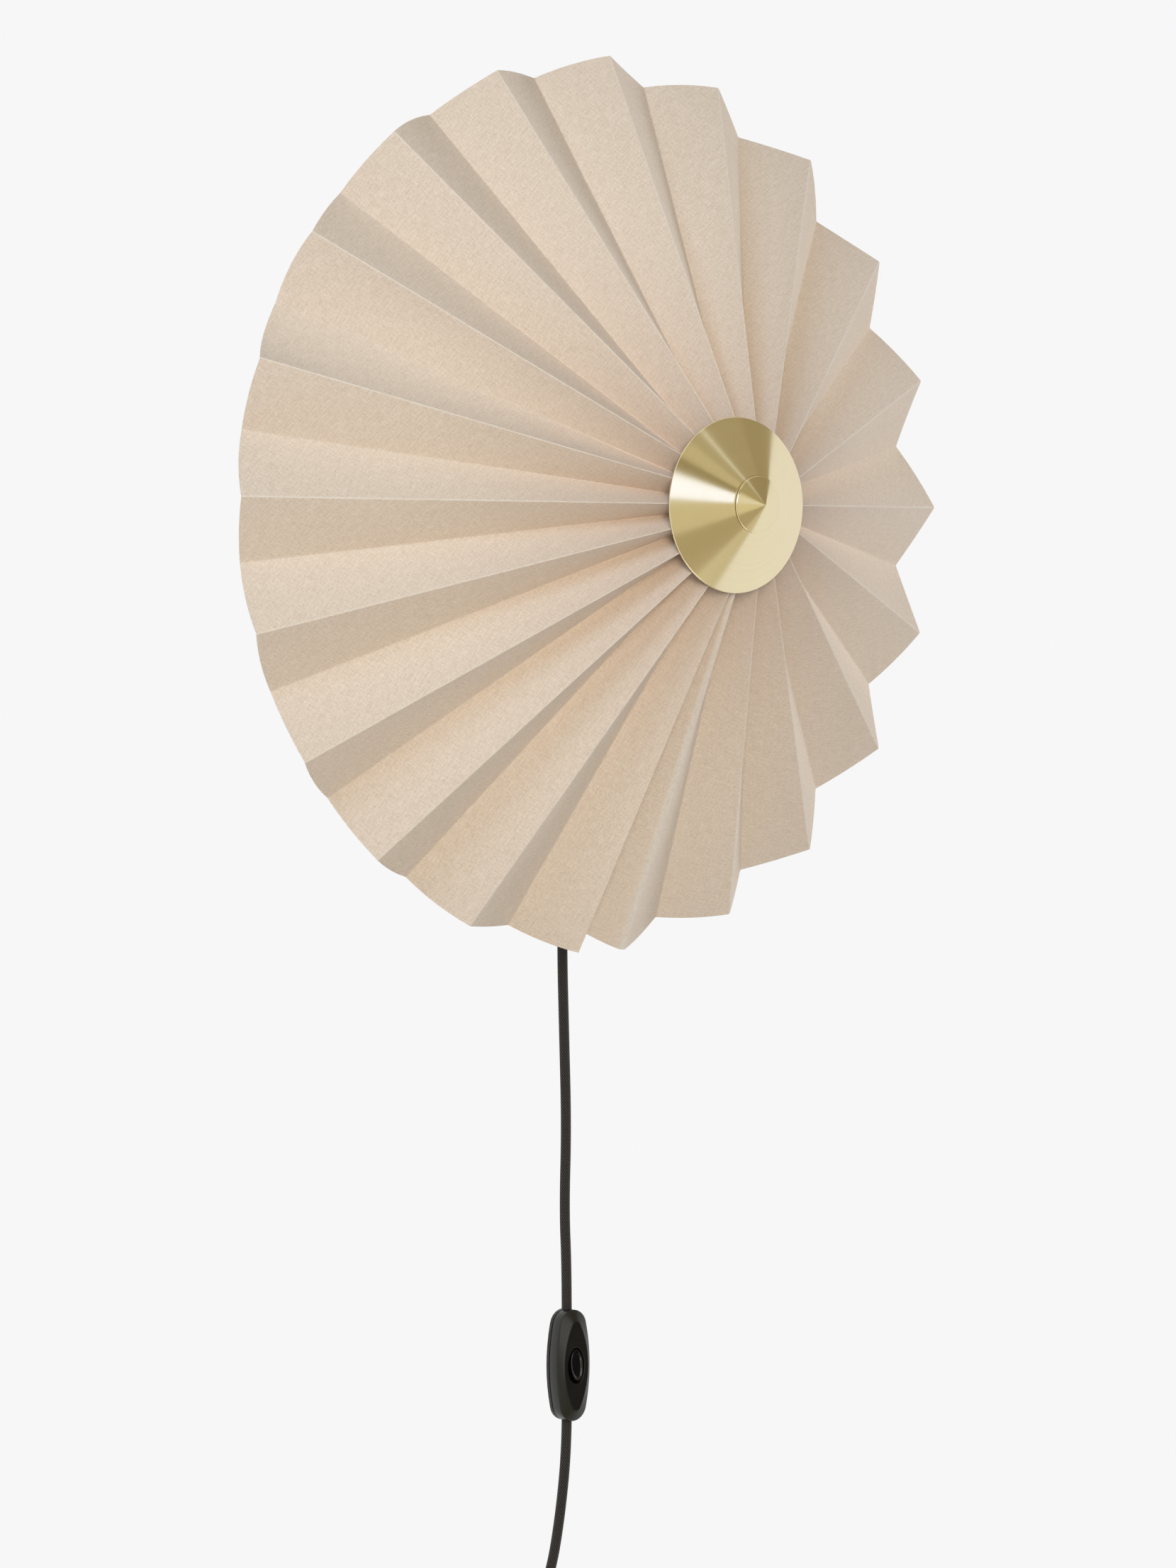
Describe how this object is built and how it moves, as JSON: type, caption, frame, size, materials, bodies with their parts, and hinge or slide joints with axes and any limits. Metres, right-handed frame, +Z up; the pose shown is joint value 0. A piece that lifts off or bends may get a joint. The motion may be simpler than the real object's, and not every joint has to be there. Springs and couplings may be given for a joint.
{
  "type": "fabric shade wall light",
  "caption": "Wall light with a shallow cone of pleated fabric on a brass hub, a braided cord and an inline rocker switch.",
  "frame": {"origin": "on the wall, on the axis of the hub, midway between the two wall screws", "axes": "+Z up, +X to the right seen from the front, +Y into the wall, so the lamp stands out towards -Y"},
  "size_m": [0.45, 0.1626, 0.98],
  "materials": {
    "shade_fabric": "fine linen laminate, matt",
    "brass": "satin, lathe brushed",
    "canopy_brass": "satin",
    "steel": "zinc plated",
    "carrier_wire": "white powder coat",
    "holder_plastic": "matt moulded",
    "block_plastic": "matt moulded",
    "contact_brass": "plain",
    "bulb_glass": "frosted",
    "lead_sheath": "matt",
    "cord_braid": "black textile braid",
    "switch_plastic": "satin, fine grain",
    "rocker_plastic": "gloss",
    "tie_strap": "hook and loop strap"
  },
  "bodies": {
    "lamp": {"wall_bracket": "steel", "wall_canopy": "canopy_brass", "canopy_screws": "contact_brass", "stem_tube": "steel", "stem_lock_nut": "steel", "stem_front_nut": "steel", "terminal_block": "block_plastic", "terminal_screws": "steel", "inner_cord": "cord_braid", "cord_grip": "holder_plastic", "grip_nut": "holder_plastic", "lampholder_bracket": "steel", "lampholder_nipple": "steel", "nipple_nut": "steel", "lampholder_body": "holder_plastic", "lamp_contact": "contact_brass", "lamp_thread_shell": "contact_brass", "lampholder_lead": "lead_sheath", "bulb_cap": "steel", "bulb_glass": "bulb_glass", "bulb_filament": "contact_brass", "seat_nut": "steel", "shade_carrier": "carrier_wire", "shade_seat": "carrier_wire", "pleated_shade": "shade_fabric", "brass_cone": "brass", "finial_nut": "brass", "cord_upper": "cord_braid", "switch_rear_shell": "switch_plastic", "switch_front_shell": "switch_plastic", "switch_contacts": "contact_brass", "switch_screws": "steel", "cord_lower": "cord_braid", "cord_coil": "cord_braid", "coil_tie": "tie_strap", "cord_tail": "cord_braid", "plug_body": "switch_plastic", "plug_pins": "steel"},
    "rocker": {"switch_rocker": "rocker_plastic"}
  },
  "joints": [
    {"name": "rocker_hinge", "type": "hinge", "parent": "lamp", "child": "rocker", "pos_m": [0, -0.01225, -0.4372], "axis": [1, 0, 0], "range_deg": [0, 14]}
  ]
}
